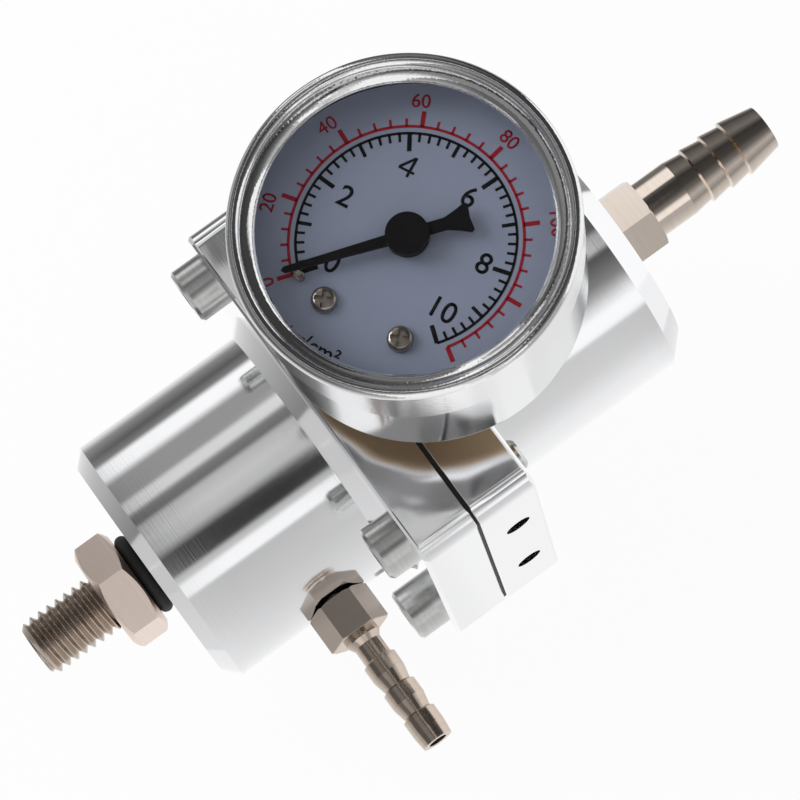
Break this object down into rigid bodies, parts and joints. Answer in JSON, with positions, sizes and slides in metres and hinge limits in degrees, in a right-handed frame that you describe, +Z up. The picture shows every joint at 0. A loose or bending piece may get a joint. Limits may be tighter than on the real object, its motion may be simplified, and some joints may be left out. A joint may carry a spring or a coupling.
{
  "type": "fuel pressure regulator",
  "caption": "Diaphragm fuel pressure regulator with a square bolted flange, adjusting screw with lock nut, fuel and vacuum hose barbs, and a round dial gauge.",
  "frame": {"origin": "On the bracket face of the body's flange, midway between its two tapped holes.", "axes": "+Z runs up along the main axis towards the adjusting screw, -Y is the side that the gauge faces, and -X is out of the bracket face, with the vacuum barb on the same side."},
  "size_m": [0.0625, 0.0838, 0.1098],
  "materials": {
    "housing_metal": "bright turned and polished",
    "zinc": "zinc plated",
    "nickel": "warm nickel plate",
    "rubber": "matt black",
    "brass": "plain brass",
    "spring_steel": "drawn wire",
    "chrome": "polished chrome",
    "case_steel": "polished steel",
    "lens": "clear",
    "dial_face": "matt white with printed scales",
    "pointer_black": "matt black"
  },
  "bodies": {
    "housing": {"bonnet": "housing_metal", "body": "housing_metal", "cap_screws": "zinc", "diaphragm": "rubber", "valve_seat": "brass", "main_spring": "spring_steel", "lock_nut": "nickel", "sealing_washer": "rubber", "fuel_barb": "nickel", "vacuum_barb": "nickel", "gauge_socket": "brass", "gauge_case": "case_steel", "gauge_bezel": "chrome", "lens_seal": "rubber", "gauge_lens": "lens", "gauge_dial": "dial_face", "dial_screws": "nickel", "stop_pin": "nickel", "movement_frame": "brass", "bourdon_tube": "brass"},
    "seat": {"spring_seat": "spring_steel"},
    "screw": {"adjusting_screw": "nickel"},
    "valve": {"upper_plate": "spring_steel", "valve_plate": "brass"},
    "pointer": {"pointer": "pointer_black", "pointer_arbor": "brass"},
    "sector": {"sector_gear": "brass"},
    "link": {"movement_link": "brass"}
  },
  "joints": [
    {"name": "seat_slide", "type": "slide", "parent": "housing", "child": "seat", "axis": [0, 0, 1], "range_m": [-0.00375, 0.0025], "deforming": ["main_spring"]},
    {"name": "screw_turn", "type": "hinge", "parent": "seat", "child": "screw", "pos_m": [0.0245, 0, 0.045], "axis": [0, 0, 1], "range_deg": [-1081, 721]},
    {"name": "valve_lift", "type": "slide", "parent": "housing", "child": "valve", "axis": [0, 0, 1], "range_m": [0, 0.0008], "stiffness_N_per_m": 1500, "springref_m": -0.002, "deforming": ["main_spring", "diaphragm"]},
    {"name": "pointer_turn", "type": "hinge", "parent": "housing", "child": "pointer", "pos_m": [0.0245, -0.054, -0.0064], "axis": [0, 1, 0], "range_deg": [0, 269], "stiffness_Nm_per_rad": 0.0004, "springref_deg": -17.19, "deforming": ["bourdon_tube"]},
    {"name": "sector_turn", "type": "hinge", "parent": "housing", "child": "sector", "pos_m": [0.028, -0.043, 0.0035], "axis": [0, 1, 0], "range_deg": [-45.5, 0.5]},
    {"name": "link_turn", "type": "hinge", "parent": "sector", "child": "link", "pos_m": [0.02934, -0.045, 0.00727], "axis": [0, 1, 0], "range_deg": [-0.5, 45.5]}
  ],
  "couplings": [
    {"joint": "screw_turn", "follows": "seat_slide", "rad_per_m": 5026.5},
    {"joint": "sector_turn", "follows": "pointer_turn", "ratio": -0.16667},
    {"joint": "link_turn", "follows": "pointer_turn", "ratio": 0.16667}
  ]
}
